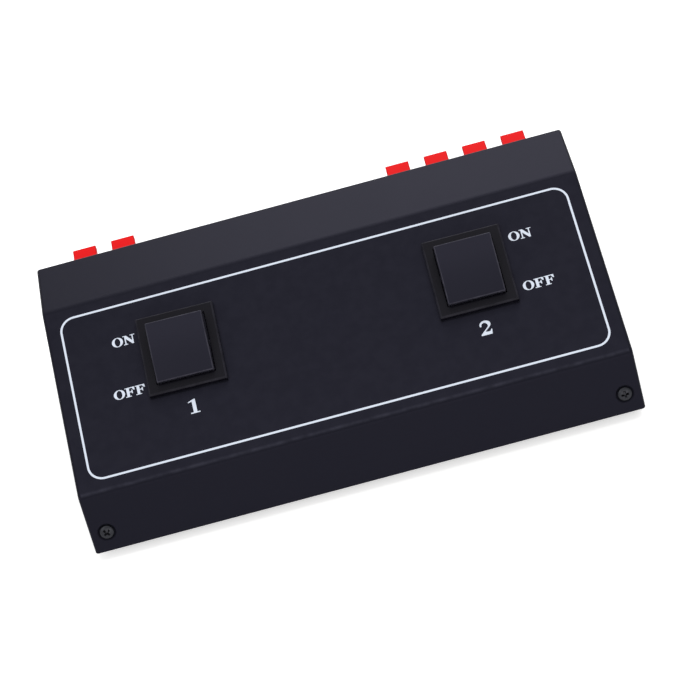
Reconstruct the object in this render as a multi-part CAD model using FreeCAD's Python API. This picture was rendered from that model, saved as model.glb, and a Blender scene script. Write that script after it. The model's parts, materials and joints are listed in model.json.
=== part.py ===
import FreeCAD, Part
import math
import os

from FreeCAD import Placement, Rotation, Vector

# Two-way stereo speaker selector in a folded steel desk case, in millimetres.
# X runs to the right along the case, Y from the front to the rear and Z up.
# The origin is the middle of the whole footprint, on the surface that the feet stand on.

# Folded cover
cover_width = 190.0
strip_depth = 22.6
panel_length = 70.3
panel_slope = 18.0
front_length = 21.2
front_lean = 26.0
sheet = 1.0
rear_fold_radius = 7.0
front_fold_radius = 2.6
rear_edge_radius = 1.2
seam_gap = 0.2

# Bottom lid and feet
lid_side_gap = 0.3
lid_front_flange = 11.5
lid_rear_flange = 6.9
lid_fold_radius = 1.6
foot_height = 4.0
foot_top_width = 12.7
foot_bottom_width = 11.2
foot_inset_x = 14.0
foot_inset_front = 15.0
foot_inset_rear = 14.0

# Self-tapping screws, all of one diameter
thread_radius = 1.5
thread_gap = 0.05
hole_gap = 0.2
head_radius = 2.4
head_height = 1.2
case_screw_length = 7.0
case_screw_inset = 5.8
front_screw_height = 6.8
rear_screw_height = 4.0
dimple_radius = 2.9
dimple_depth = 0.6
block_screw_length = 7.6

# How far a cutting shape runs past what it cuts
past = 1.0

# Rocker switches
switch_spacing = 101.0
switch_down_panel = 27.4
switch_twists = (-1.2, -0.7)
cutout_gap = 0.45
bezel_width = 27.2
bezel_length = 29.5
bezel_height = 2.2
bezel_edge = 0.5
housing_wall = 1.15
housing_floor = 1.6
pole_wall = 1.2
pole_wall_drop = 8.0
wing_width = 8.0
wing_reach = 1.2
wing_length = 5.0
wing_lip = 0.6
wing_gap = 0.3
wing_slot = 0.7
rocker_face_width = 19.7
rocker_face_length = 21.2
rocker_face_height = 6.6
rocker_crown = 0.6
rocker_flare = 0.2
rocker_skirt = 3.5
rocker_wall = 1.4
rocker_play = 0.25
rocker_tilt = 10.0
rocker_pin_radius = 1.5
rocker_pin_gap = 0.05
rocker_pin_length = 1.1
rocker_pin_end_gap = 0.4

# Contacts inside each switch
pole_spacing = 10.4
fulcrum_drop = 11.0
bridge_reach = 8.4
bridge_width = 4.0
bridge_sheet = 0.5
bridge_fold = 8.0
bridge_tilt = 8.0
stud_reach = 7.2
stud_width = 2.4
stud_height = 0.5
contact_gap = 0.15
bridge_end_gap = 0.35
blade_floor_gap = 1.45
blade_width = 4.8
blade_sheet = 0.8
blade_reach = 8.0
blade_gap = 0.1
plunger_radius = 1.5
plunger_play = 0.1
plunger_length = 5.6
plunger_gap = 0.15
guide_wall = 0.8
guide_length = 7.0
guide_roof = 0.3
spring_radius = 1.3
spring_gap = 0.05

# Spring-clip terminal blocks
port_pitch = 14.0
row_pitch = 14.5
input_block_inset = 24.0
output_block_inset = 37.2
block_above_bottom = 22.63
block_gap = 0.3
block_depth = 12.0
block_face = 2.2
block_lip = 0.8
block_ear = 6.5
block_ear_screw = 3.3
cell_height = 12.9
mouth_width = 5.2
mouth_height = 4.6
mouth_drop = 3.3
mouth_flare = 0.6
back_sheet = 1.2

# Levers of the terminal blocks
lever_width = 8.4
lever_top = 5.9
lever_reach = 9.4
lever_thickness = 2.6
lever_root = 4.0
lever_hub_depth = 6.0
lever_edge = 0.5
lever_travel = 13.0
lever_pocket_wall = 1.1
lever_side_gap = 0.4
lever_slot_gap = 0.35
rod_radius = 1.0
rod_gap = 0.05
rod_seat = 1.0

# Clamp springs, link board and wires
clamp_width = 5.0
clamp_sheet = 0.5
clamp_gap = 0.3
clamp_front = 3.0
clamp_rear = 9.8
tag_width = 2.6
tag_drop = 3.4
tag_reach = 1.0
tag_shoulder = 1.0
board_sheet = 1.6
board_height = 27.0
board_gap = 1.4
lead_width = 2.2
lead_thickness = 0.9
lead_grip = 2.5

# Levels and depths worked out from the sizes above
slope = math.radians(panel_slope)
lean = math.radians(front_lean)
tilt = math.radians(rocker_tilt)
case_height = panel_length * math.sin(slope) + front_length * math.cos(lean)
case_depth = strip_depth + panel_length * math.cos(slope) + front_length * math.sin(lean)
case_bottom = foot_height
case_top = case_bottom + case_height
front_y = -(case_depth + lever_reach) / 2
rear_y = front_y + case_depth
fold_y = rear_y - strip_depth
front_fold_y = fold_y - panel_length * math.cos(slope)
front_fold_z = case_top - panel_length * math.sin(slope)
half_width = cover_width / 2
rocker_base_width = rocker_face_width + 2 * rocker_flare
rocker_swing = (rocker_face_length / 2 + bezel_height * math.sin(tilt)) / math.cos(tilt)
window_width = rocker_base_width + 2 * rocker_play
window_length = 2 * (rocker_swing + rocker_play)
housing_width = window_width + 2 * housing_wall
housing_length = window_length + 2 * housing_wall
contact_top = -fulcrum_drop - stud_height - contact_gap
pad_top = contact_top - stud_height
housing_depth = blade_sheet + blade_floor_gap + housing_floor - pad_top
end_blade_y = -(bridge_reach + bridge_end_gap + blade_sheet / 2)
guide_end = rocker_face_height - rocker_wall - guide_roof
block_height = 2 * row_pitch
block_z = case_bottom + block_above_bottom
input_block_x = input_block_inset - half_width
output_block_x = half_width - output_block_inset
cell_width = lever_width + 2 * lever_side_gap
cell_rear = -sheet - block_depth
lever_low = lever_top - lever_thickness
lever_hub_z = lever_top - lever_root / 2


def box(x0, x1, y0, y1, z0, z1):
    return Part.makeBox(x1 - x0, y1 - y0, z1 - z0, Vector(x0, y0, z0))


def centred_box(width, length, z0, z1):
    return box(-width / 2, width / 2, -length / 2, length / 2, z0, z1)


def rod(radius, start, end):
    return Part.makeCylinder(radius, (end - start).Length, start, end - start)


def disc(radius, z0, z1):
    return Part.makeCylinder(radius, z1 - z0, Vector(0, 0, z0), Vector(0, 0, 1))


def rounded_outline(corners, radii):
    """A closed outline through the corners, each rounded by its radius."""
    edges = []
    joins = []
    for i, (corner, radius) in enumerate(zip(corners, radii)):
        back = (corners[i - 1] - corner).normalize()
        ahead = (corners[(i + 1) % len(corners)] - corner).normalize()
        half_angle = back.getAngle(ahead) / 2
        reach = radius / math.tan(half_angle)
        joins.append((corner + back * reach, corner + ahead * reach))
        if radius > 0:
            middle = (back + ahead).normalize() * (radius / math.sin(half_angle) - radius)
            edges.append(Part.Arc(joins[-1][0], corner + middle, joins[-1][1]).toShape())
    for i, (_, leave) in enumerate(joins):
        arrive = joins[(i + 1) % len(joins)][0]
        if leave.distanceToPoint(arrive) > 1e-6:
            edges.append(Part.LineSegment(leave, arrive).toShape())
    return Part.Wire(Part.__sortEdges__(edges))


def side_prism(profile, radii, x0, x1):
    """A prism along X with its rounded outline given as (y, z) points."""
    corners = [Vector(x0, y, z) for y, z in profile]
    return Part.Face(rounded_outline(corners, radii)).extrude(Vector(x1 - x0, 0, 0))


def placed(shape, frame):
    copy = shape.copy()
    copy.Placement = frame.multiply(copy.Placement)
    return copy


def turned(shape, centre, angle):
    """A copy turned about the X direction through a centre."""
    copy = shape.copy()
    copy.rotate(centre, Vector(1, 0, 0), angle)
    return copy


def fuse(shapes):
    return shapes[0].multiFuse(shapes[1:]).removeSplitter()


def export(name, solids):
    shape = solids[0] if len(solids) == 1 else Part.makeCompound(solids)
    shape.exportStep("parts/" + name + ".step")


# Frames: each looks out of its face along its own Z

def switch_frame(index):
    """Frame of a switch on the sloping panel: X right, Y up the panel, Z out of it."""
    along = fold_y - switch_down_panel * math.cos(slope)
    height = case_top - switch_down_panel * math.sin(slope)
    x = (index - 0.5) * switch_spacing
    tilt = Rotation(Vector(1, 0, 0), panel_slope)
    twist = Rotation(Vector(0, 0, 1), switch_twists[index])
    return Placement(Vector(x, along, height), tilt.multiply(twist))


def front_screw_frame(side):
    y = front_y + front_screw_height * math.sin(lean)
    z = case_bottom + front_screw_height * math.cos(lean)
    x = side * (half_width - case_screw_inset)
    return Placement(Vector(x, y, z), Rotation(Vector(1, 0, 0), 90 - front_lean))


def rear_frame(x, z):
    """Frame on the rear wall: Y up, Z out to the rear."""
    turn = Rotation(Vector(0, 0, 1), 180).multiply(Rotation(Vector(1, 0, 0), 90))
    return Placement(Vector(x, rear_y, z), turn)


def rear_screw_frame(side):
    return rear_frame(side * (half_width - case_screw_inset), case_bottom + rear_screw_height)


def foot_places():
    ys = (front_y + foot_inset_front, rear_y - foot_inset_rear)
    return [(side * (half_width - foot_inset_x), y) for y in ys for side in (-1, 1)]


def block_places():
    """Name, middle and number of columns of each terminal block."""
    return [("input", input_block_x, 2), ("output", output_block_x, 4)]


def row_z(row):
    """Middle level of a row of ports, row 0 being the upper one."""
    return block_z + (0.5 - row) * row_pitch


def ports(middle, columns):
    """Column, row and place of each port."""
    for column in range(columns):
        x = middle + (column - (columns - 1) / 2) * port_pitch
        for row in (0, 1):
            yield column, row, Vector(x, rear_y, row_z(row))


def ear_screw_places():
    for _, middle, columns in block_places():
        for side in (-1, 1):
            yield middle + side * (columns * port_pitch / 2 + block_ear_screw)


# Case

def case_outline(bottom, inset):
    """Corners of the case's side view as (y, z), moved in by a distance and run down to a level."""
    drop = case_bottom - bottom + inset
    outer = [Vector(0, front_y - drop * math.tan(lean), bottom - inset),
             Vector(0, front_fold_y, front_fold_z),
             Vector(0, fold_y, case_top),
             Vector(0, rear_y, case_top),
             Vector(0, rear_y, bottom - inset)]
    moved = []
    for i, corner in enumerate(outer):
        back = (outer[i - 1] - corner).normalize()
        ahead = (outer[(i + 1) % len(outer)] - corner).normalize()
        shift = inset / math.sin(back.getAngle(ahead) / 2)
        moved.append(corner + (back + ahead).normalize() * shift)
    return [(corner.y, corner.z) for corner in moved]


def case_solid(inset, bottom, radii):
    side = half_width - inset
    return side_prism(case_outline(bottom, inset), radii, -side, side)


def top_cover():
    """One folded and welded sheet: rear strip, sloping panel, leaning front, rear wall and two ends."""
    shell = case_solid(0, case_bottom, [0, front_fold_radius, rear_fold_radius, rear_edge_radius, 0])
    hollow_radii = [0, front_fold_radius - sheet, rear_fold_radius - sheet,
                    rear_edge_radius - sheet, 0]
    shell = shell.cut(case_solid(sheet, case_bottom - 3 * sheet, hollow_radii))
    for side in (-1, 1):
        frame = front_screw_frame(side)
        boss = disc(dimple_radius + dimple_depth, -sheet - dimple_depth, -sheet)
        shell = shell.fuse(placed(boss, frame))
        shell = shell.cut(placed(disc(dimple_radius, -dimple_depth, 0), frame))
        hole = disc(thread_radius + hole_gap, -3 * sheet, sheet)
        shell = shell.cut([placed(hole, frame), placed(hole, rear_screw_frame(side))])
    for index in (0, 1):
        cutout = centred_box(housing_width + 2 * cutout_gap, housing_length + 2 * cutout_gap,
                             -2 * sheet, sheet)
        shell = shell.cut(placed(cutout, switch_frame(index)))
    for _, middle, columns in block_places():
        width = columns * port_pitch / 2 + block_gap
        height = block_height / 2 + block_gap
        shell = shell.cut(box(middle - width, middle + width, rear_y - 2 * sheet, rear_y + sheet,
                              block_z - height, block_z + height))
    for x in ear_screw_places():
        hole = disc(thread_radius + thread_gap, -2 * sheet, sheet)
        shell = shell.cut(placed(hole, rear_frame(x, block_z)))
    return shell


def bottom_lid():
    """Flat lid with a leaning front flange and an upright rear one that take the case screws."""
    front_gap = sheet + dimple_depth + seam_gap / 2
    front_foot = front_y + front_gap / math.cos(lean)
    flange_y = lid_front_flange * math.sin(lean)
    flange_z = lid_front_flange * math.cos(lean)
    inner_foot = front_foot + sheet / math.cos(lean)
    rear_out = rear_y - sheet - seam_gap / 2
    inner_rise = sheet * math.tan(lean)
    low, floor = case_bottom, case_bottom + sheet
    rear_top = case_bottom + lid_rear_flange
    step_y, step_z = sheet * math.cos(lean), -sheet * math.sin(lean)
    outline = [(front_foot, low), (rear_out, low), (rear_out, rear_top),
               (rear_out - sheet, rear_top), (rear_out - sheet, floor),
               (inner_foot + inner_rise, floor),
               (front_foot + flange_y + step_y, low + flange_z + step_z),
               (front_foot + flange_y, low + flange_z)]
    outer_fold, inner_fold = lid_fold_radius, lid_fold_radius - sheet
    radii = [outer_fold, outer_fold, 0, 0, inner_fold, inner_fold, 0, 0]
    half = half_width - sheet - lid_side_gap
    lid = side_prism(outline, radii, -half, half)
    holes = []
    for side in (-1, 1):
        for frame in (front_screw_frame(side), rear_screw_frame(side)):
            hole = disc(thread_radius + thread_gap, -front_gap - 3 * sheet, 0)
            holes.append(placed(hole, frame))
    return lid.cut(holes)


def foot(x, y):
    """Square tapered rubber foot stuck under the lid."""
    def outline(width, z):
        half = width / 2
        corners = [Vector(x + sx * half, y + sy * half, z)
                   for sx, sy in ((-1, -1), (1, -1), (1, 1), (-1, 1))]
        return rounded_outline(corners, [0] * 4)

    return Part.makeLoft([outline(foot_bottom_width, 0), outline(foot_top_width, foot_height)], True, True)


# Fasteners

def pan_screw(length):
    """Screw with its head above Z 0 and its shank running down."""
    return disc(head_radius, 0, head_height).fuse(disc(thread_radius, -length, 0))


def front_case_screws():
    """The two front screws sit on the floors of the cover's dimples."""
    seat = Placement(Vector(0, 0, -dimple_depth), Rotation())
    screw = placed(pan_screw(case_screw_length), seat)
    return [placed(screw, front_screw_frame(side)) for side in (-1, 1)]


def rear_case_screws():
    screw = pan_screw(case_screw_length - dimple_depth)
    return [placed(screw, rear_screw_frame(side)) for side in (-1, 1)]


def block_screws():
    """Screws through the blocks' ears into the rear wall."""
    seat = Placement(Vector(0, 0, block_face), Rotation())
    screw = placed(pan_screw(block_screw_length), seat)
    return [placed(screw, rear_frame(x, block_z)) for x in ear_screw_places()]


# Rocker switch, in its own frame: X right, Y up the panel, Z out of it, Z 0 on the panel

def pole_places():
    return (-pole_spacing / 2, pole_spacing / 2)


def switch_housing():
    """Moulded bezel and body with snap wings, pivot holes, a wall between the poles and blade slots."""
    bezel = centred_box(bezel_width, bezel_length, 0, bezel_height)
    rim = [edge for edge in bezel.Edges if edge.BoundBox.ZMin > bezel_height - 1e-6]
    bezel = bezel.makeChamfer(bezel_edge, rim)
    body = centred_box(housing_width, housing_length, -housing_depth, 0)
    wings = []
    for side in (-1, 1):
        wall = side * housing_length / 2
        tip = wall + side * wing_reach
        root = wall - side * housing_wall / 2
        top = -sheet - wing_gap
        wings.append(side_prism([(root, top), (tip, top), (tip, top - wing_lip), (root, top - wing_length)],
                                [0] * 4, -wing_width / 2, wing_width / 2))
    shell = fuse([bezel, body] + wings)
    hollow = centred_box(window_width, window_length, housing_floor - housing_depth, bezel_height + past)
    shell = shell.cut(hollow)
    slots = []
    for side in (-1, 1):
        for edge in (-1, 1):
            x = edge * (wing_width + wing_slot) / 2
            y = side * (housing_length - housing_wall) / 2
            slots.append(box(x - wing_slot / 2, x + wing_slot / 2, y - housing_wall, y + housing_wall,
                             -wing_length - 3 * sheet, -sheet - wing_gap))
    bore = rocker_pin_radius + rocker_pin_gap
    bore_end = window_width / 2 + rocker_pin_length + rocker_pin_end_gap
    slots.append(rod(bore, Vector(-bore_end, 0, 0), Vector(bore_end, 0, 0)))
    divider = box(-pole_wall / 2, pole_wall / 2, -window_length / 2, window_length / 2,
                  -housing_depth, -pole_wall_drop)
    shell = shell.fuse(divider).removeSplitter()
    for x in pole_places():
        for y in (0, end_blade_y):
            width = blade_width + 2 * blade_gap
            length = blade_sheet + 2 * blade_gap
            slots.append(box(x - width / 2, x + width / 2, y - length / 2, y + length / 2,
                             -housing_depth - past, housing_floor - housing_depth + past))
    return shell.cut(slots)


def rocker_outline(inset, foot_level):
    """Side view of the rocker: a crowned face over two straight ends."""
    half = rocker_face_length / 2 - inset
    top = rocker_face_height - inset
    corners = [Vector(0, side * half, level) for side, level in
               ((1, -foot_level), (1, top - rocker_crown), (-1, top - rocker_crown), (-1, -foot_level))]
    edges = [Part.LineSegment(corners[0], corners[1]).toShape(),
             Part.Arc(corners[1], Vector(0, 0, top), corners[2]).toShape(),
             Part.LineSegment(corners[2], corners[3]).toShape(),
             Part.LineSegment(corners[3], corners[0]).toShape()]
    return Part.Wire(edges)


def rocker_block(inset, foot_level):
    """The rocker's outline carried across its width, inside sides that flare towards the window."""
    half_base = rocker_base_width / 2 - inset
    half_face = rocker_face_width / 2 - inset
    wire = rocker_outline(inset, foot_level)
    wire.translate(Vector(-half_base, 0, 0))
    block = Part.Face(wire).extrude(Vector(2 * half_base, 0, 0))
    reach = rocker_swing + past
    crest = rocker_face_height - inset + rocker_crown
    corners = [Vector(half_base, -reach, -reach), Vector(half_base, -reach, bezel_height),
               Vector(half_face, -reach, crest), Vector(-half_face, -reach, crest),
               Vector(-half_base, -reach, bezel_height), Vector(-half_base, -reach, -reach)]
    sides = Part.Face(rounded_outline(corners, [0] * 6)).extrude(Vector(0, 2 * reach, 0))
    return block.common(sides)


def rocker():
    """Hollow rocker with its pivot pins and two spring guides, in its middle position."""
    block = rocker_block(0, rocker_skirt)
    block = block.cut(rocker_block(rocker_wall, rocker_skirt + rocker_wall))
    half = plunger_radius + plunger_play + guide_wall
    pin_reach = rocker_base_width / 2 + rocker_pin_length
    added = []
    for side in (-1, 1):
        start = Vector(side * (rocker_base_width / 2 - rocker_wall), 0, 0)
        added.append(rod(rocker_pin_radius, start, Vector(side * pin_reach, 0, 0)))
    for x in pole_places():
        added.append(box(x - half, x + half, -half, half, -guide_length, guide_end + guide_wall))
    block = fuse([block] + added)
    bore = plunger_radius + plunger_play
    bores = [rod(bore, Vector(x, 0, -guide_length - past), Vector(x, 0, guide_end))
             for x in pole_places()]
    return block.cut(bores)


def plunger_tip():
    """Level of a plunger's tip: a little above the bridge when the rocker passes the middle."""
    fold = math.radians(bridge_fold)
    return -fulcrum_drop + bridge_sheet / math.cos(fold) + plunger_radius * math.tan(fold) + plunger_gap


def plungers():
    """Pins that ride in the rocker's guides and press on the bridges."""
    tip = plunger_tip()
    return [rod(plunger_radius, Vector(x, 0, tip), Vector(x, 0, tip + plunger_length))
            for x in pole_places()]


def plunger_springs():
    """Springs between the plungers and the blind ends of the guides, as plain cylinders."""
    low = plunger_tip() + plunger_length + spring_gap
    high = guide_end - spring_gap
    return [rod(spring_radius, Vector(x, 0, low), Vector(x, 0, high)) for x in pole_places()]


def contact_bridges():
    """Shallow-vee contact strips rocking on the centre blades, in their middle position."""
    rise = math.tan(math.radians(bridge_fold))
    thick = bridge_sheet / math.cos(math.radians(bridge_fold))
    base = -fulcrum_drop
    reach = bridge_reach
    outline = [(0, base), (reach, base + reach * rise), (reach, base + reach * rise + thick),
               (0, base + thick), (-reach, base + reach * rise + thick), (-reach, base + reach * rise)]
    bridges = []
    for x in pole_places():
        strip = side_prism(outline, [0] * 6, x - bridge_width / 2, x + bridge_width / 2)
        stud = box(x - stud_width / 2, x + stud_width / 2, -stud_reach - stud_width / 2,
                   -stud_reach + stud_width / 2, base - stud_height, base + bridge_sheet / 2)
        stud.rotate(Vector(0, 0, base), Vector(1, 0, 0), -bridge_fold)
        bridges.append(fuse([strip, stud]))
    return bridges


def centre_blades():
    """Common terminals: each carries its bridge on its top edge and leaves through the floor."""
    tips = -housing_depth - blade_reach
    steepest = math.radians(bridge_tilt + bridge_fold)
    top = -fulcrum_drop - contact_gap - blade_sheet / 2 * math.tan(steepest)
    return [box(x - blade_width / 2, x + blade_width / 2, -blade_sheet / 2, blade_sheet / 2, tips, top)
            for x in pole_places()]


def end_blades():
    """Switched terminals: a blade through the floor, bent over to carry the fixed contact."""
    tips = -housing_depth - blade_reach
    y = end_blade_y
    blades = []
    for x in pole_places():
        pad_end = stud_width / 2 + blade_sheet / 2 - stud_reach
        outline = [(y - blade_sheet / 2, tips), (y + blade_sheet / 2, tips),
                   (y + blade_sheet / 2, pad_top - blade_sheet), (pad_end, pad_top - blade_sheet),
                   (pad_end, pad_top), (y - blade_sheet / 2, pad_top)]
        blade = side_prism(outline, [0] * 6, x - blade_width / 2, x + blade_width / 2)
        stud = box(x - stud_width / 2, x + stud_width / 2, -stud_reach - stud_width / 2,
                   -stud_reach + stud_width / 2, pad_top - blade_sheet / 2, contact_top)
        blades.append(fuse([blade, stud]))
    return blades


def switch_pieces():
    """Every piece of one switch in its own frame, standing at off: front pressed, rear raised."""
    pivot = Vector(0, 0, 0)
    fulcrum = Vector(0, 0, -fulcrum_drop)
    return {
        "switch_housing": [switch_housing()],
        "rocker": [turned(rocker(), pivot, rocker_tilt)],
        "plungers": [turned(pin, pivot, rocker_tilt) for pin in plungers()],
        "plunger_springs": [turned(spring, pivot, rocker_tilt) for spring in plunger_springs()],
        "contact_bridges": [turned(bridge, fulcrum, -bridge_tilt) for bridge in contact_bridges()],
        "centre_blades": centre_blades(),
        "end_blades": end_blades(),
    }


# Terminal blocks

def block_body(middle, columns):
    """Moulded block: a face with ears, a lever slot and wire mouth per port, and open cells behind."""
    half = columns * port_pitch / 2
    slot_low = pressed_level(lever_hub_depth + block_face, lever_low - lever_hub_z) - lever_slot_gap
    height = block_height / 2
    face = centred_box(2 * (half + block_ear), block_height + 2 * block_lip, 0, block_face)
    rim = [edge for edge in face.Edges if edge.BoundBox.ZMin > block_face - 1e-6]
    face = placed(face.makeChamfer(block_lip / 2, rim), rear_frame(middle, block_z))
    tub = box(middle - half, middle + half, rear_y + cell_rear, rear_y,
              block_z - height, block_z + height)
    body = fuse([face, tub])
    cuts = []
    for _, _, port in ports(middle, columns):
        cell = box(-cell_width / 2, cell_width / 2, cell_rear - past, 0, -cell_height / 2, cell_height / 2)
        slot = box(-cell_width / 2, cell_width / 2, -past, block_face + past,
                   slot_low, lever_top + lever_slot_gap)
        for cut in (cell, slot):
            cut.translate(port)
            cuts.append(cut)
        cuts.append(wire_mouth(port))
    for row in (0, 1):
        axis_z = row_z(row) + lever_hub_z
        radius = rod_radius + rod_gap
        cuts.append(box(middle - half + rod_seat, middle + half - rod_seat,
                        rear_y + cell_rear - past, rear_y - lever_hub_depth + radius,
                        axis_z - radius, axis_z + radius))
    for side in (-1, 1):
        hole = disc(thread_radius + hole_gap, -past, block_face + past)
        cuts.append(placed(hole, rear_frame(middle + side * (half + block_ear_screw), block_z)))
    return body.cut(cuts)


def pressed_level(ahead, above):
    """Level that a lever's point ahead of and above its hub comes down to when it is pressed."""
    travel = math.radians(lever_travel)
    return lever_hub_z + above * math.cos(travel) - ahead * math.sin(travel)


def pivot_rods(middle, columns):
    """A steel rod through the levers of each row, lying in the body's notches."""
    reach = columns * port_pitch / 2 - rod_seat - rod_gap
    centres = [Vector(middle, rear_y - lever_hub_depth, row_z(row) + lever_hub_z) for row in (0, 1)]
    return [rod(rod_radius, centre - Vector(reach, 0, 0), centre + Vector(reach, 0, 0))
            for centre in centres]


def wire_mouth(port):
    """Square wire mouth that flares out to the face."""
    def section(grow, y):
        w, h = mouth_width / 2 + grow, mouth_height / 2 + grow
        z = port.z - mouth_drop
        corners = [Vector(port.x + sx * w, y, z + sz * h)
                   for sx, sz in ((-1, -1), (1, -1), (1, 1), (-1, 1))]
        return rounded_outline(corners, [0] * 4)

    face_y = port.y + block_face
    throat = Part.Face(section(0, port.y - past)).extrude(Vector(0, block_face + 2 * past, 0))
    flare = Part.makeLoft([section(0, face_y - mouth_flare), section(mouth_flare, face_y)], True, True)
    return throat.fuse(flare)


def block_back(middle, columns):
    """Plate that closes the cells, with a slot for each tag and ribs that keep the pivot rods in."""
    half = columns * port_pitch / 2
    height = block_height / 2
    rear = rear_y + cell_rear
    plate = box(middle - half, middle + half, rear - back_sheet, rear, block_z - height, block_z + height)
    ribs = []
    tip = rear_y - lever_hub_depth - rod_radius - 2 * rod_gap
    thick = rod_radius - rod_gap
    rib_width = (port_pitch - cell_width) / 2 - rod_seat - 2 * rod_gap
    for _, _, port in ports(middle, columns):
        axis_z = port.z + lever_hub_z
        for side in (-1, 1):
            x = port.x + side * (cell_width / 2 + rod_gap + rib_width / 2)
            ribs.append(box(x - rib_width / 2, x + rib_width / 2, rear, tip, axis_z - thick, axis_z + thick))
    slots = [tag_slot(port) for _, _, port in ports(middle, columns)]
    return plate.multiFuse(ribs).cut(slots)


def tag_slot(port):
    """Slot that a tag passes through, from the cell to past the link board."""
    half = tag_width / 2 + blade_gap
    end = port.y - board_face_depth() - 2 * board_sheet
    low = port.z - tag_drop - blade_gap
    return box(port.x - half, port.x + half, end, port.y + cell_rear + tag_shoulder,
               low, low + clamp_sheet + 2 * blade_gap)


def lever(port):
    """Push lever: a tab with a hollow underside and a root that turns on the pivot rod."""
    heel = -lever_hub_depth - lever_root / 2
    front = -lever_hub_depth + lever_root / 2
    root_low = lever_hub_z - lever_root / 2
    outline = [(lever_reach, lever_low + lever_edge), (lever_reach, lever_top),
               (heel + lever_edge, lever_top), (heel, lever_hub_z), (heel + lever_edge, root_low),
               (front, root_low), (front, lever_low)]
    half = lever_width / 2
    body = side_prism(outline, [0] * 7, -half, half)
    inner = half - lever_pocket_wall
    pocket = box(-inner, inner, block_face + past, lever_reach - lever_pocket_wall,
                 lever_low - past, lever_top - lever_pocket_wall)
    hub = Vector(0, -lever_hub_depth, lever_hub_z)
    bore = rod(rod_radius + rod_gap, hub - Vector(2 * half, 0, 0), hub + Vector(2 * half, 0, 0))
    body = body.cut([pocket, bore])
    body.translate(port)
    return body


def clamp_spring(port):
    """Spring strip under the lever's root, bent down behind the wire and back to a solder tag."""
    top = pressed_level(lever_root / 2, -lever_root / 2) - clamp_gap
    tag = -tag_drop
    end = -board_face_depth() - board_sheet - tag_reach
    rear = -clamp_rear
    outline = [(-clamp_front, top), (-clamp_front, top - clamp_sheet),
               (rear + clamp_sheet, top - clamp_sheet), (rear + clamp_sheet, tag),
               (end, tag), (end, tag + clamp_sheet), (rear, tag + clamp_sheet), (rear, top)]
    strip = side_prism(outline, [0] * 8, -clamp_width / 2, clamp_width / 2)
    for side in (-1, 1):
        edge = side * (clamp_width + tag_width) / 4
        width = (clamp_width - tag_width) / 4
        strip = strip.cut(box(edge - width, edge + width, end - past, cell_rear + tag_shoulder,
                              tag - past, tag + past))
    strip.translate(port)
    return strip


def board_face_depth():
    """Depth of the link board's rear face behind the rear wall's outer face."""
    return sheet + block_depth + back_sheet + board_gap


def link_board():
    """Circuit board soldered to every tag of both blocks."""
    rear = rear_y - board_face_depth()
    left = input_block_x - port_pitch
    right = output_block_x + 2 * port_pitch
    board = box(left, right, rear - board_sheet, rear, block_z - board_height / 2, block_z + board_height / 2)
    slots = [tag_slot(port) for _, middle, columns in block_places()
             for _, _, port in ports(middle, columns)]
    return board.cut(slots)


def channel_leads(pole):
    """The flat leads of one stereo channel: from each switch's two blades up to the link board."""
    leads = []
    level = lead_grip - housing_depth - blade_reach
    board_front = rear_y - board_face_depth() - board_sheet
    beside = (2 * pole - 1) * (blade_width / 2 + lead_thickness / 2 + blade_gap)
    behind = blade_sheet / 2 + blade_gap
    for index in (0, 1):
        frame = switch_frame(index)
        ahead = frame.Rotation.multVec(Vector(0, 1, 0))
        stop = board_front - lead_width / 2 * math.sin(slope) - blade_gap
        for x, y in ((0, behind), (beside, end_blade_y - lead_grip / 2)):
            start = frame.multVec(Vector(pole_places()[pole] + x, y, level))
            length = (stop - start.y) / ahead.y
            lead = box(-lead_thickness / 2, lead_thickness / 2, 0, length, -lead_width / 2, lead_width / 2)
            leads.append(placed(lead, Placement(start, frame.Rotation)))
    return leads


def main():
    os.makedirs("parts", exist_ok=True)
    export("top_cover", [top_cover()])
    export("bottom_lid", [bottom_lid()])
    foot_names = ("foot_front_left", "foot_front_right", "foot_rear_left", "foot_rear_right")
    for name, (x, y) in zip(foot_names, foot_places()):
        export(name, [foot(x, y)])
    export("front_case_screws", front_case_screws())
    export("rear_case_screws", rear_case_screws())
    export("block_screws", block_screws())
    for name, solids in switch_pieces().items():
        for index in (0, 1):
            moved = [placed(solid, switch_frame(index)) for solid in solids]
            export(name + "_" + str(index + 1), moved)
    for block, middle, columns in block_places():
        export(block + "_block_body", [block_body(middle, columns)])
        export(block + "_block_back", [block_back(middle, columns)])
        export(block + "_pivot_rods", pivot_rods(middle, columns))
        export(block + "_clamp_springs", [clamp_spring(port) for _, _, port in ports(middle, columns)])
        for column, row, port in ports(middle, columns):
            channel = ("left", "right")[column % 2]
            zone = "" if columns == 2 else "_" + str(column // 2 + 1)
            colour = ("red", "black")[row]
            export(block + zone + "_" + channel + "_" + colour + "_lever", [lever(port)])
    export("link_board", [link_board()])
    export("left_channel_leads", channel_leads(0))
    export("right_channel_leads", channel_leads(1))


main()
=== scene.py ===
# Speaker selector with a sloping panel, two rocker switches and spring-clip terminals.
# X runs to the right along the case, Y from the front to the rear and Z up, in metres.

import math
import json

import bmesh
import bpy
from mathutils import Matrix, Vector

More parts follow.
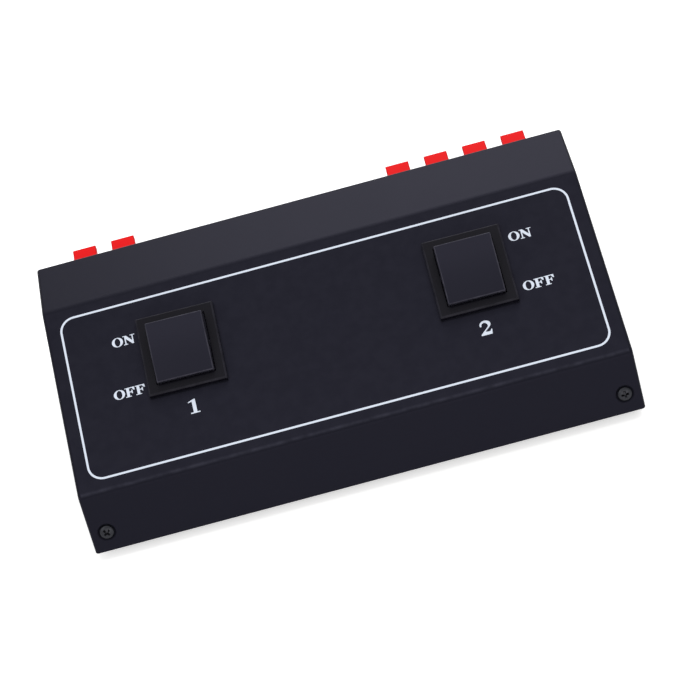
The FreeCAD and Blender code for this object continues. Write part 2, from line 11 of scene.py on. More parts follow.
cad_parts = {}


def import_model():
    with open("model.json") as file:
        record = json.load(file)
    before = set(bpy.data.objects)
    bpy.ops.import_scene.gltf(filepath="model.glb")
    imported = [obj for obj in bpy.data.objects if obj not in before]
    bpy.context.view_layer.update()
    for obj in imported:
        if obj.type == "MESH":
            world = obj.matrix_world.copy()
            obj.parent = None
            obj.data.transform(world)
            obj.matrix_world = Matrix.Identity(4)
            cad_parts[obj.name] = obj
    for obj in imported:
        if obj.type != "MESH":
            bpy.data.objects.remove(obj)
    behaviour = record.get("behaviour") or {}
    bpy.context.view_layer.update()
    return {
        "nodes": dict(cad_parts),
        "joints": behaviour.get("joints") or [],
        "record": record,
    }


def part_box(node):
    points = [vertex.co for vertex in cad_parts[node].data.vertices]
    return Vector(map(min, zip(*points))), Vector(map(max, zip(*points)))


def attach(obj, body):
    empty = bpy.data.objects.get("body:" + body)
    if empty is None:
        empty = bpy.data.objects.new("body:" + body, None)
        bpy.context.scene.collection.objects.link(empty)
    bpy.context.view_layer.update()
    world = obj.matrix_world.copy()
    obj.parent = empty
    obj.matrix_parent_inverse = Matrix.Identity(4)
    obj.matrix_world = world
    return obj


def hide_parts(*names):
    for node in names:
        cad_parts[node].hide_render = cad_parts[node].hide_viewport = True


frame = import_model()

MM = 0.001

# Cloudy change of shade over a finish, and patches of painted highlight and painted shade along its edges
CLOUD_SIZE = 26 * MM
EDGE_PATCH_SIZE = 4 * MM

# A face belongs to a rounded edge where its normal's largest part is less than this
EDGE_SQUARE = 0.988

# Slope of the part of the front fold that gets a painted highlight, and how far the painted highlight fades
# to both sides
FOLD_SHINE = math.radians(31)
FOLD_SPREAD = math.radians(15)

# Points closer than this are one after a boolean, in millimetres
WELD_MM = 0.001

# Neighbours that turn less than this are one flat side
FLAT_TURN = math.radians(0.5)

# Folded steel cover
COVER_WIDTH = 190.0 * MM
STRIP_DEPTH = 22.6 * MM
PANEL_LENGTH = 70.3 * MM
PANEL_SLOPE = math.radians(18.0)
FRONT_LEAN = math.radians(26.0)
SHEET = 1.0 * MM
REAR_FOLD_RADIUS = 7.0 * MM
FRONT_FOLD_RADIUS = 3.4 * MM
REAR_EDGE_RADIUS = 1.2 * MM
END_FOLD_RADIUS = 1.1 * MM
SCREW_INSET = 5.8 * MM
FRONT_SCREW_HEIGHT = 6.8 * MM
REAR_SCREW_HEIGHT = 4.0 * MM
DIMPLE_RADIUS = 2.5 * MM
DIMPLE_RIM = 0.75 * MM
DIMPLE_DEPTH = 0.6 * MM

# Start of a dimple's slope and its cutter's end past the front, as shares of the rim and the depth
DIMPLE_FOOT = (0.25, 0.8)
DIMPLE_PAST = (1.25, 0.4)

# Rocker switches
CUTOUT_GAP = 0.45 * MM
BEZEL_HEIGHT = 2.2 * MM
HOUSING_WALL = 1.15 * MM
ROCKER_FACE_WIDTH = 19.7 * MM
ROCKER_FACE_LENGTH = 21.2 * MM
ROCKER_FACE_HEIGHT = 6.6 * MM
ROCKER_CROWN = 0.6 * MM
ROCKER_FLARE = 0.2 * MM
ROCKER_SKIRT = 3.5 * MM
ROCKER_WALL = 1.4 * MM
ROCKER_EDGE = 0.4 * MM
ROCKER_PLAY = 0.25 * MM
ROCKER_TILT = math.radians(10.0)
ROCKER_PIN_RADIUS = 1.5 * MM
ROCKER_PIN_LENGTH = 1.1 * MM
ROCKER_OVER = 0.01 * MM
POLE_SPACING = 10.4 * MM
PLUNGER_RADIUS = 1.5 * MM
PLUNGER_PLAY = 0.1 * MM
PLUNGER_TIP = -10.13 * MM
PLUNGER_LENGTH = 5.6 * MM
GUIDE_WALL = 0.8 * MM
GUIDE_LENGTH = 7.0 * MM
GUIDE_END = 4.9 * MM
PLUNGER_CHAMFER = 0.2 * MM
SPRING_RADIUS = 1.3 * MM
SPRING_WIRE = 0.22 * MM
SPRING_TURNS = 11

# Terminal blocks
PORT_PITCH = 14.0 * MM
ROW_PITCH = 14.5 * MM
BLOCK_GAP = 0.3 * MM
BLOCK_FACE = 2.2 * MM
BLOCK_EAR_SCREW = 3.3 * MM
BLOCK_SCREW_HOLE = 1.55 * MM
BLOCK_COLUMNS = {"input": 2, "output": 4}

# Self-tapping screws; the tip's share of the full radius grows over its first turns of thread
HEAD_RADIUS = 2.4 * MM
HEAD_HEIGHT = 1.2 * MM
HEAD_SIDE = 0.45 * MM
HEAD_CHAMFER = 0.12 * MM
FRONT_SCREW_LENGTH = 6.9 * MM
REAR_SCREW_LENGTH = 6.3 * MM
BLOCK_SCREW_LENGTH = 7.5 * MM
FRONT_SCREW_TURNS = {-1: math.radians(38), 1: math.radians(4)}
REAR_SCREW_TURN = 0.5
BLOCK_SCREW_TURN = 0.7
THREAD_RADIUS = 1.5 * MM
THREAD_DEPTH = 0.35 * MM
THREAD_PITCH = 1.1 * MM
THREAD_LEAD = 1.5
THREAD_TIP = 0.25
SHANK_SINK = 0.05 * MM
RECESS_REACH = 1.45 * MM
RECESS_WIDTH = 0.8 * MM
RECESS_DEPTH = 1.05 * MM
SCREW_PLAY = 0.2 * MM

# Shares of the recess's length and width at its floor and of both just above the head
RECESS_FLOOR = (0.45, 0.6)
RECESS_FLARE = 1.05
RECESS_OVER = 0.1 * MM

# White print on the panel, placed along X and down the panel from the rear fold
INK_HEIGHT = 0.03 * MM
BORDER_HALF_WIDTH = 89.55 * MM
BORDER_TOP = -4.5 * MM
BORDER_BOTTOM = -65.5 * MM
BORDER_LINE = 0.72 * MM
BORDER_CORNER = 5.0 * MM
WORD_HEIGHT = 3.45 * MM
NUMBER_HEIGHT = 5.2 * MM
WORD_ENDS = {"right": -65.1 * MM, "left": 66.2 * MM}
ON_BASELINE = -19.95 * MM
OFF_BASELINE = -39.2 * MM
NUMBER_BASELINE = -51.2 * MM

# The photograph's camera
CAMERA_PLACE = Vector((20.35, -549.12, 599.88)) * MM
CAMERA_RIGHT = Vector((0.9656, -0.1732, -0.1938))
CAMERA_UP = Vector((0.2589, 0.7073, 0.6579))
CAMERA_LENS = 122.75
SENSOR_WIDTH = 36.0
CLIP_START = 0.05

# Floor and world: reach and level of the floor, its glow, and the world's light and its white
FLOOR_REACH = 6.0
FLOOR_LEVEL = -0.05 * MM
FLOOR_GLOW = 0.5
WORLD_FILL = 0.45
WORLD_WHITE = 1.0

# Levels of the case, from the frame
rear_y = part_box("top_cover")[1].y
case_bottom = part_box("top_cover")[0].z
case_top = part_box("top_cover")[1].z
front_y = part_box("top_cover")[0].y
fold_y = rear_y - STRIP_DEPTH
panel_run = Vector((math.cos(PANEL_SLOPE), math.sin(PANEL_SLOPE)))
front_fold = Vector((fold_y, case_top)) - PANEL_LENGTH * panel_run
panel_frame = Matrix.Translation((0, fold_y, case_top)) @ Matrix.Rotation(PANEL_SLOPE, 4, "X")


# Materials

def linear(hex_colour):
    """An sRGB hex colour as a linear colour with full alpha."""
    parts = [int(hex_colour[i:i + 2], 16) / 255 for i in (1, 3, 5)]
    return [c / 12.92 if c <= 0.04045 else ((c + 0.055) / 1.055) ** 2.4 for c in parts] + [1.0]


def add(tree, kind, inputs=None, **settings):
    """Adds a node with its settings, values and links."""
    node = tree.nodes.new(kind)
    for name, value in settings.items():
        setattr(node, name, value)
    for socket, value in (inputs or {}).items():
        if isinstance(value, bpy.types.NodeSocket):
            tree.links.new(value, node.inputs[socket])
        else:
            node.inputs[socket].default_value = value
    return node


def surface(name, dark, light, grain_mm, relief_mm, roughness, spread, stretch=(1, 1, 1), painted_edge_tone=None,
            **shader):
    """A Principled surface whose colour, roughness and relief follow one grain of a real size.

    Where a piece's rounded edges are marked, the colour goes in patches to a painted edge tone: a painted
    highlight where that tone is lighter than the surface, painted shade where it is darker.
    """
    material = bpy.data.materials.new(name)
    material.use_nodes = True
    tree = material.node_tree
    tree.nodes.clear()
    place = add(tree, "ShaderNodeTexCoord")
    mapping = add(tree, "ShaderNodeMapping", {"Vector": place.outputs["Object"], "Scale": stretch})
    grain = add(tree, "ShaderNodeTexNoise", {"Vector": mapping.outputs[0], "Scale": 1 / (grain_mm * MM),
                                             "Detail": 3.0, "Roughness": 0.55})
    cloud = add(tree, "ShaderNodeTexNoise", {"Vector": mapping.outputs[0], "Scale": 1 / CLOUD_SIZE,
                                             "Detail": 2.0})
    blend = add(tree, "ShaderNodeMix", {"Factor": 0.35, 2: grain.outputs[0], 3: cloud.outputs[0]})
    colour = add(tree, "ShaderNodeMix", {"Factor": blend.outputs[0], 6: linear(dark), 7: linear(light)},
                 data_type="RGBA")
    if painted_edge_tone:
        # Painted highlight on marked edges and folds, painted shade where the edge tone is darker, broken
        # into patches by noise
        edge = add(tree, "ShaderNodeAttribute", attribute_name="edge")
        patches = add(tree, "ShaderNodeTexNoise", {"Vector": place.outputs["Object"],
                                                   "Scale": 1 / EDGE_PATCH_SIZE, "Detail": 2.0})
        edge_patchiness = add(tree, "ShaderNodeMapRange", {"Value": patches.outputs[0], "From Min": 0.35,
                                                  "From Max": 0.65, "To Min": 0.4})
        painted_edge_amount = add(tree, "ShaderNodeMath", {0: edge.outputs["Fac"], 1: edge_patchiness.outputs[0]},
                   operation="MULTIPLY")
        colour = add(tree, "ShaderNodeMix", {"Factor": painted_edge_amount.outputs[0], 6: colour.outputs[2],
                                             7: linear(painted_edge_tone)}, data_type="RGBA")
    rough = add(tree, "ShaderNodeMapRange", {"Value": blend.outputs[0], "From Min": 0.3, "From Max": 0.7,
                                             "To Min": roughness - spread, "To Max": roughness + spread})
    bump = add(tree, "ShaderNodeBump", {"Height": grain.outputs[0], "Strength": 1.0,
                                        "Distance": relief_mm * MM})
    values = {"Base Color": colour.outputs[2], "Roughness": rough.outputs[0], "Normal": bump.outputs[0]}
    values.update(shader)
    principled = add(tree, "ShaderNodeBsdfPrincipled", values)
    add(tree, "ShaderNodeOutputMaterial", {"Surface": principled.outputs[0]})
    return material


def steel_powder_coat():
    # Baked powder coat on mild steel: blue-black, satin, with the faint peel of the melted powder
    # Its lighter edge tone is a painted highlight, on the cover's front fold and on marked rounded edges
    return surface("steel_powder_coat", "#111219", "#18181f", 0.35, 0.004, 0.36, 0.03, painted_edge_tone="#32323c",
                   **{"Specular IOR Level": 0.085, "Specular Tint": linear("#d6d2ff")})


def switch_bezel_nylon():
    # Nylon 66 from a spark-eroded mould: nearly black, with an even dull grain
    # Its lighter edge tone is a painted highlight on the bezel's rounded edges
    return surface("switch_bezel_nylon", "#09080f", "#100f17", 0.3, 0.008, 0.42, 0.04, painted_edge_tone="#24232b",
                   **{"Specular IOR Level": 0.08})


def rocker_nylon():
    # Moulded nylon, finer mould than the bezel: a touch lighter, with a soft sheen
    # Its lighter edge tone is a painted highlight on the rocker's rounded edges
    return surface("rocker_nylon", "#1c1c24", "#22222a", 0.22, 0.004, 0.34, 0.03, painted_edge_tone="#3d3c45",
                   **{"Specular IOR Level": 0.1, "Specular Tint": linear("#dcd8ff")})


def screen_ink():
    # Screen-printed epoxy ink: slightly bluish white, laid thin enough to show a little unevenness
    return surface("screen_ink", "#ccd5e4", "#dde5f3", 0.2, 0.002, 0.45, 0.05)


def red_abs():
    # Injection-moulded ABS in signal red, with soft broad highlights
    # Its darker edge tone is painted shade on the levers' rounded edges
    return surface("red_abs", "#e00f12", "#ea1518", 4.0, 0.002, 0.48, 0.04, painted_edge_tone="#b90c12",
                   **{"Specular IOR Level": 0.05})


def black_abs():
    # The same ABS in black
    return surface("black_abs", "#131315", "#19191b", 4.0, 0.002, 0.32, 0.04, **{"Specular IOR Level": 0.4})


def block_phenolic():
    # Moulded phenolic of the terminal blocks: black, slightly mottled and dull
    return surface("block_phenolic", "#151517", "#1e1e20", 0.5, 0.008, 0.50, 0.06,
                   **{"Specular IOR Level": 0.4})


def blackened_steel():
    # Steel with black oxide: a dark metal with a soft grey glint
    return surface("blackened_steel", "#232428", "#303136", 0.4, 0.004, 0.38, 0.08, Metallic=0.85)


def zinc_plate():
    # Bright zinc plate with faint blue passivation
    return surface("zinc_plate", "#b4b8bf", "#ced1d6", 0.8, 0.002, 0.30, 0.06, Metallic=1.0)


def moulded_rubber():
    # Black moulded rubber: no shine, with a dusty bloom
    return surface("moulded_rubber", "#161616", "#202021", 0.6, 0.015, 0.80, 0.06,
                   **{"Specular IOR Level": 0.3})


def natural_nylon():
    # Unpigmented nylon: milky, faintly yellow, slightly translucent
    return surface("natural_nylon", "#dcd8ca", "#e9e6db", 1.5, 0.002, 0.40, 0.05,
                   **{"Subsurface Weight": 0.15, "Subsurface Scale": 0.001})


def spring_wire():
    # Hard-drawn spring wire: bright steel with fine drawing lines
    return surface("spring_wire", "#a9aaac", "#c9cacc", 0.25, 0.002, 0.28, 0.06, Metallic=1.0)


def stamped_brass():
    # Brass blades stamped from strip, a little tarnished
    return surface("stamped_brass", "#b08a3e", "#d0ab5c", 0.7, 0.003, 0.34, 0.08, stretch=(1, 1, 0.2),
                   Metallic=1.0)


def bare_copper():
    # Copper contact strip with a satin face
    return surface("bare_copper", "#b06c48", "#cf8a63", 0.7, 0.003, 0.34, 0.08, stretch=(0.2, 1, 1),
                   Metallic=1.0)


def nickel_plate():
    # Nickel-plated spring strip: warm pale metal
    return surface("nickel_plate", "#aaa69c", "#c6c2b8", 0.6, 0.002, 0.30, 0.06, stretch=(1, 0.2, 1),
                   Metallic=1.0)


def paper_laminate():
    # Phenolic paper laminate: tan, with the paper's faint fibres along its length
    return surface("paper_laminate", "#8e6a3a", "#a98149", 0.5, 0.004, 0.55, 0.05, stretch=(0.15, 1, 1))


def vinyl_insulation():
    # Soft grey vinyl round a flat lead
    return surface("vinyl_insulation", "#2c2c2f", "#3a3a3d", 1.0, 0.003, 0.50, 0.05,
                   **{"Specular IOR Level": 0.4})


finishes = {
    "painted_steel": steel_powder_coat(),
    "foot_rubber": moulded_rubber(),
    "black_screws": blackened_steel(),
    "zinc_screws": zinc_plate(),
    "bezel_plastic": switch_bezel_nylon(),
    "rocker_plastic": rocker_nylon(),
    "plunger_nylon": natural_nylon(),
    "spring_steel": spring_wire(),
    "contact_copper": bare_copper(),
    "blade_brass": stamped_brass(),
    "block_plastic": block_phenolic(),
    "rod_steel": spring_wire(),
    "clamp_steel": nickel_plate(),
    "red_lever_plastic": red_abs(),
    "black_lever_plastic": black_abs(),
    "board_laminate": paper_laminate(),
    "lead_insulation": vinyl_insulation(),
}
slot_of = {part["node"]: part["material_slot"] for part in frame["record"]["subparts"]}
body_of = {node: body for body, nodes in frame["record"]["behaviour"]["bodies"].items() for node in nodes}


# Mesh helpers

def new_piece(name, bm):
    """An object in the scene from a finished bmesh."""
    bmesh.ops.recalc_face_normals(bm, faces=bm.faces)
    mesh = bpy.data.meshes.new(name)
    bm.to_mesh(mesh)
    bm.free()
    piece = bpy.data.objects.new(name, mesh)
    bpy.context.scene.collection.objects.link(piece)
    return piece


def settle(piece):
    """Applies a piece's modifiers to its mesh."""
    bpy.context.view_layer.update()
    graph = bpy.context.evaluated_depsgraph_get()
    mesh = bpy.data.meshes.new_from_object(piece.evaluated_get(graph))
    piece.modifiers.clear()
    piece.data = mesh


def mesh_of(curve):
    """A curve's mesh, with its fill, depth and caps."""
    holder = bpy.data.objects.new(curve.name, curve)
    bpy.context.scene.collection.objects.link(holder)
    bpy.context.view_layer.update()
    graph = bpy.context.evaluated_depsgraph_get()
    mesh = bpy.data.meshes.new_from_object(holder.evaluated_get(graph))
    bpy.data.objects.remove(holder)
    return mesh


def combine(piece, other, operation):
    """Cuts another piece from this one, joins it on or keeps what they share, all in millimetres."""
    for part in (piece, other):
        part.data.transform(Matrix.Scale(1 / MM, 4))
    change = piece.modifiers.new("combine", "BOOLEAN")
    change.object = other
    change.operation = operation
    change.solver = "EXACT"
    settle(piece)
    bm = bmesh.new()
    bm.from_mesh(piece.data)
    bmesh.ops.remove_doubles(bm, verts=bm.verts, dist=WELD_MM)
    bmesh.ops.dissolve_degenerate(bm, edges=bm.edges, dist=WELD_MM)
    bm.to_mesh(piece.data)
    bm.free()
    piece.data.transform(Matrix.Scale(MM, 4))
    bpy.data.objects.remove(other)


def soften(piece, width, segments=3, angle=math.radians(32)):
    """Rounds a piece's sharp edges."""
    bevel = piece.modifiers.new("edges", "BEVEL")
    bevel.width = width
    bevel.segments = segments
    bevel.limit_method = "ANGLE"
    bevel.angle_limit = angle
    bevel.use_clamp_overlap = True
    bevel.miter_outer = "MITER_ARC"


def shade(piece, angle=math.radians(35)):
    """Smooth curved stretches, crisp edges and flat faces that stay flat."""
    piece.data.shade_smooth()
    piece.data.set_sharp_from_angle(angle=angle)
    weighted = piece.modifiers.new("flat faces", "WEIGHTED_NORMAL")
    weighted.keep_sharp = True
    weighted.weight = 100


def dress(piece, node):
    """Gives a piece the finish, the slot and the body of the node that it stands for."""
    piece.data.materials.clear()
    piece.data.materials.append(finishes[slot_of[node]])
    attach(piece, body_of[node])
    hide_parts(node)


def mark_edges(piece, place=Matrix.Identity(4)):
    """Marks the faces between a piece's flat sides, which lie square in a place's frame, as the faces that
    take the painted edge highlight and shade.
    """
    turn = place.to_3x3().transposed()
    mark = piece.data.attributes.new("edge", "FLOAT", "FACE")
    for face in piece.data.polygons:
        mark.data[face.index].value = float(max(abs(part) for part in turn @ face.normal) < EDGE_SQUARE)


def keep_inside(piece, low, high):
    """Holds a piece's points inside a box."""
    for vertex in piece.data.vertices:
        vertex.co = [min(max(value, least), most) for value, least, most in zip(vertex.co, low, high)]


def join_flat_faces(bm):
    """Joins flat neighbours wherever the joined face has no hole and turns no corner twice."""
    flat = [edge for edge in bm.edges if edge.is_manifold and edge.calc_face_angle() < FLAT_TURN]
    for edge in sorted(flat, key=lambda edge: -edge.calc_length()):
        if not edge.is_valid or not edge.is_manifold:
            continue
        shared = [other for other in edge.link_faces[0].edges if other in set(edge.link_faces[1].edges)]
        if len(shared) == 1 and len(set(edge.link_faces[0].verts) & set(edge.link_faces[1].verts)) == 2:
            bmesh.ops.dissolve_edges(bm, edges=[edge], use_verts=False)


def softened_node(node, width):
    """Stands a copy of a node with rounded edges in the node's place."""
    bm = bmesh.new()
    bm.from_mesh(frame["nodes"][node].data)
    bmesh.ops.remove_doubles(bm, verts=bm.verts, dist=2 * WELD_MM * MM)
    join_flat_faces(bm)
    piece = new_piece(node + "_piece", bm)
    soften(piece, width)
    settle(piece)
    keep_inside(piece, *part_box(node))
    mark_edges(piece, panel_frame if "housing" in node else Matrix.Identity(4))
    shade(piece)
    dress(piece, node)


def rounded_path(corners, radii, steps=8):
    """Points of a closed path through the corners, each rounded by its radius."""
    points = []
    for i, (corner, radius) in enumerate(zip(corners, radii)):
        if radius == 0:
            points.append(corner)
            continue
        back = (corners[i - 1] - corner).normalized()
        ahead = (corners[(i + 1) % len(corners)] - corner).normalized()
        half_angle = back.angle(ahead) / 2
        centre = corner + (back + ahead).normalized() * radius / math.sin(half_angle)
        start = corner + back * radius / math.tan(half_angle) - centre
        end = corner + ahead * radius / math.tan(half_angle) - centre
        turn = start.angle_signed(end)
        for step in range(steps + 1):
            points.append(centre + Matrix.Rotation(-turn * step / steps, 2) @ start)
    return points


def close_between(bm, near, far):
    """A closed solid's faces: two rings of as many points and the sides between them."""
    bm.faces.new(near)
    bm.faces.new(far[::-1])
    for k in range(len(near)):
        j = (k + 1) % len(near)
        bm.faces.new((near[k], far[k], far[j], near[j]))


def prism_piece(name, outline, left, right):
    """A closed prism along X over an outline of (y, z) points."""
    bm = bmesh.new()
    ends = [[bm.verts.new((x, y, z)) for y, z in outline] for x in (left, right)]
    close_between(bm, *ends)
    return new_piece(name, bm)


def block_piece(name, width, length, low, high, place):
    """A closed block centred on its place's Z axis."""
    bm = bmesh.new()
    size = Matrix.Diagonal((width, length, high - low, 1))
    bmesh.ops.create_cube(bm, size=1, matrix=place @ Matrix.Translation((0, 0, (low + high) / 2)) @ size)
    return new_piece(name, bm)


def turned_piece(name, profile, place=Matrix.Identity(4), segments=40):
    """A closed turned piece from (radius, height) points that begin and end on its axis."""
    bm = bmesh.new()
    rings = []
    for radius, height in profile:
        if radius == 0:
            rings.append([bm.verts.new(place @ Vector((0, 0, height)))])
            continue
        rings.append([bm.verts.new(place @ Vector((radius * math.cos(a), radius * math.sin(a), height)))
                      for a in (math.tau * k / segments for k in range(segments))])
    for low, high in zip(rings, rings[1:]):
        for k in range(segments):
            j = (k + 1) % segments
            if len(low) == 1:
                bm.faces.new((low[0], high[k], high[j]))
            elif len(high) == 1:
                bm.faces.new((low[k], low[j], high[0]))
            else:
                bm.faces.new((low[k], low[j], high[j], high[k]))
    return new_piece(name, bm)


def rod_piece(name, radius, low, high, place):
    """A closed rod along its place's Z axis."""
    return turned_piece(name, [(0, low), (radius, low), (radius, high), (0, high)], place)


def joined(pieces, name):
    """One object from several that don't touch."""
    bm = bmesh.new()
    for piece in pieces:
        bm.from_mesh(piece.data)
        bpy.data.objects.remove(piece)
    return new_piece(name, bm)


# Places

def switch_place(number):
    """Frame of a switch: X right, Y up the panel, Z out of it, on its rocker's hinge."""
    joint = next(j for j in frame["joints"] if j["name"] == "rocker_%d_hinge" % number)
    right = -Vector(joint["axis"]).normalized()
    out = panel_frame.to_3x3() @ Vector((0, 0, 1))
    up = out.cross(right).normalized()
    place = Matrix((right, up, out)).transposed().to_4x4()
    place.translation = Vector(joint["pos_m"])
    return place


def rocker_place(number):
    """The switch's frame turned to the rocker's off position."""
    return switch_place(number) @ Matrix.Rotation(ROCKER_TILT, 4, "X")


def front_screw_place(side):
    """Frame of a front case screw: Z out of the leaning front."""
    x = side * (COVER_WIDTH / 2 - SCREW_INSET)
    y = front_y + FRONT_SCREW_HEIGHT * math.sin(FRONT_LEAN)
    z = case_bottom + FRONT_SCREW_HEIGHT * math.cos(FRONT_LEAN)
    return Matrix.Translation((x, y, z)) @ Matrix.Rotation(math.pi / 2 - FRONT_LEAN, 4, "X")


def rear_place(x, z):
    """Frame on the rear wall: Y up, Z out to the rear."""
    turn = Matrix.Rotation(math.pi, 4, "Z") @ Matrix.Rotation(math.pi / 2, 4, "X")
    return Matrix.Translation((x, rear_y, z)) @ turn


def rear_screw_place(side):
    """Frame of a rear case screw."""
    return rear_place(side * (COVER_WIDTH / 2 - SCREW_INSET), case_bottom + REAR_SCREW_HEIGHT)


def block_screw_places():
    """Places of the terminal blocks' screws, at the middles of the ears."""
    places = []
    for block, columns in BLOCK_COLUMNS.items():
        low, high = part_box(block + "_block_body")
        middle = (low.x + high.x) / 2
        reach = columns * PORT_PITCH / 2 + BLOCK_EAR_SCREW
        for side in (-1, 1):
            places.append(rear_place(middle + side * reach, (low.z + high.z) / 2))
    return places


# Cover

def case_section(inset):
    """Side view of the case as (y, z), open below, with its walls moved in."""
    slopes = (math.pi / 2 - FRONT_LEAN, PANEL_SLOPE, 0, -math.pi / 2)
    corners = [front_fold, Vector((fold_y, case_top)), Vector((rear_y, case_top))]
    moved = [Vector((front_y + inset / math.cos(FRONT_LEAN), case_bottom))]
    for corner, before, after in zip(corners, slopes, slopes[1:]):
        inward = Vector((math.sin((before + after) / 2), -math.cos((before + after) / 2)))
        moved.append(corner + inward * inset / math.cos((before - after) / 2))
    moved.append(Vector((rear_y - inset, case_bottom)))
    radii = [0] + [radius - inset for radius in (FRONT_FOLD_RADIUS, REAR_FOLD_RADIUS, REAR_EDGE_RADIUS)] + [0]
    return rounded_path(moved, radii, 10)


def sheet_skin(bm, inset):
    """One skin of the cover, its end folds rounded, as sections from the left end to the right."""
    half = COVER_WIDTH / 2 - inset
    radius = END_FOLD_RADIUS - inset
    turns = [math.pi / 2 * k / 5 for k in range(6)]
    left = [(-half + radius * (1 - math.sin(a)), inset + radius * (1 - math.cos(a))) for a in turns[::-1]]
    right = [(-x, depth) for x, depth in left[::-1]]
    rings = [[bm.verts.new((x, y, z)) for y, z in case_section(depth)] for x, depth in left + right]
    for near, far in zip(rings, rings[1:]):
        for k in range(len(near) - 1):
            bm.faces.new((near[k], far[k], far[k + 1], near[k + 1]))
    bm.faces.new(rings[0])
    bm.faces.new(rings[-1][::-1])
    return rings


def dimple_profile():
    """Cutter of a front dimple: a flat floor and a slope that is carried past the front face."""
    foot, foot_depth = DIMPLE_FOOT
    past, past_height = DIMPLE_PAST
    return [(0, -DIMPLE_DEPTH), (DIMPLE_RADIUS, -DIMPLE_DEPTH),
            (DIMPLE_RADIUS + DIMPLE_RIM * foot, -DIMPLE_DEPTH * foot_depth),
            (DIMPLE_RADIUS + DIMPLE_RIM * past, DIMPLE_DEPTH * past_height), (0, DIMPLE_DEPTH * past_height)]


def top_cover():
    """Folded and welded sheet with soft folds, dimples for the front screws, cut-outs and a painted highlight
    along the front fold.
    """
    bm = bmesh.new()
    outer, inner = sheet_skin(bm, 0), sheet_skin(bm, SHEET)
    for end in (0, -1):
        for k in range(len(outer) - 1):
            bm.faces.new((outer[k][end], outer[k + 1][end], inner[k + 1][end], inner[k][end]))
        bm.faces.new((outer[end][0], outer[end][-1], inner[end][-1], inner[end][0]))
    cover = new_piece("top_cover_piece", bm)
    bosses, bowls, openings = [], [], []
    for side in (-1, 1):
        place = front_screw_place(side)
        bosses.append(rod_piece("boss", DIMPLE_RADIUS + DIMPLE_RIM, -SHEET - DIMPLE_DEPTH, -SHEET / 2, place))
        bowls.append(turned_piece("bowl", dimple_profile(), place))
        for spot in (place, rear_screw_place(side)):
            openings.append(rod_piece("hole", THREAD_RADIUS + SCREW_PLAY, -3 * SHEET, SHEET, spot))
    swing = (ROCKER_FACE_LENGTH / 2 + BEZEL_HEIGHT * math.sin(ROCKER_TILT)) / math.cos(ROCKER_TILT)
    around = 2 * (HOUSING_WALL + CUTOUT_GAP + ROCKER_PLAY)
    for number in (1, 2):
        openings.append(block_piece("window", ROCKER_FACE_WIDTH + 2 * ROCKER_FLARE + around,
                                    2 * swing + around, -2 * SHEET, SHEET, switch_place(number)))
    for block, columns in BLOCK_COLUMNS.items():
        low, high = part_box(block + "_block_body")
        middle = rear_place((low.x + high.x) / 2, (low.z + high.z) / 2)
        openings.append(block_piece("window", columns * PORT_PITCH + 2 * BLOCK_GAP,
                                    2 * ROW_PITCH + 2 * BLOCK_GAP, -2 * SHEET, SHEET, middle))
    for place in block_screw_places():
        openings.append(rod_piece("hole", BLOCK_SCREW_HOLE, -2 * SHEET, SHEET, place))
    combine(cover, joined(bosses, "bosses"), "UNION")
    combine(cover, joined(bowls, "bowls"), "DIFFERENCE")
    combine(cover, joined(openings, "openings"), "DIFFERENCE")
    keep_inside(cover, *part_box("top_cover"))
    # Painted highlight along the front fold: faces near it take more of the steel's edge tone the nearer
    # their slope lies to FOLD_SHINE
    mark = cover.data.attributes.new("edge", "FLOAT", "FACE")
    for face in cover.data.polygons:
        slope = math.atan2(-face.normal.y, face.normal.z)
        if abs(face.normal.x) < 0.1 and face.center.z > front_fold.y - REAR_FOLD_RADIUS:
            mark.data[face.index].value = max(0.0, 1 - abs(slope - FOLD_SHINE) / FOLD_SPREAD)
    shade(cover, math.radians(25))
    dress(cover, "top_cover")


# Print

def flat_shape(name, loops, height):
    """A thin flat shape from closed loops of (x, y) points, inner loops being holes."""
    curve = bpy.data.curves.new(name, "CURVE")
    curve.dimensions = "2D"
    curve.fill_mode = "BOTH"
    curve.extrude = height / 2
    for loop in loops:
        spline = curve.splines.new("POLY")
        spline.points.add(len(loop) - 1)
        for point, (x, y) in zip(spline.points, loop):
            point.co = (x, y, 0, 1)
        spline.use_cyclic_u = True
    piece = bpy.data.objects.new(name, mesh_of(curve))
    bpy.context.scene.collection.objects.link(piece)
    return piece


def oval(x, y, half_width, half_height, steps=48):
    """A closed loop round a middle."""
    return [(x + half_width * math.cos(math.tau * k / steps),
             y + half_height * math.sin(math.tau * k / steps)) for k in range(steps)]


# Serif letters, one cap height tall: each gives its width and its loops

def letter_o():
    return 1.18, [oval(0.59, 0.5, 0.56, 0.51), oval(0.59, 0.5, 0.28, 0.44)]


def letter_n():
    return 1.22, [[(0.0, 0.0), (0.42, 0.0), (0.42, 0.08), (0.28, 0.08), (0.28, 0.66), (0.86, 0.0),
                   (1.02, 0.0), (1.02, 0.92), (1.20, 0.92), (1.20, 1.0), (0.74, 1.0), (0.74, 0.92),
                   (0.90, 0.92), (0.90, 0.35), (0.35, 1.0), (0.0, 1.0), (0.0, 0.92), (0.16, 0.92),
                   (0.16, 0.08), (0.0, 0.08)]]


def letter_f():
    return 1.04, [[(0.0, 0.0), (0.58, 0.0), (0.58, 0.08), (0.43, 0.08), (0.43, 0.47), (0.60, 0.47),
                   (0.68, 0.32), (0.75, 0.32), (0.75, 0.71), (0.68, 0.71), (0.60, 0.56), (0.43, 0.56),
                   (0.43, 0.91), (0.72, 0.91), (0.88, 0.66), (0.98, 0.66), (0.96, 1.0), (0.0, 1.0),
                   (0.0, 0.92), (0.15, 0.92), (0.15, 0.08), (0.0, 0.08)]]


def number_one():
    return 0.70, [[(0.06, 0.0), (0.68, 0.0), (0.68, 0.08), (0.49, 0.08), (0.49, 1.0), (0.38, 1.0),
                   (0.0, 0.86), (0.0, 0.80), (0.25, 0.84), (0.25, 0.08), (0.06, 0.08)]]


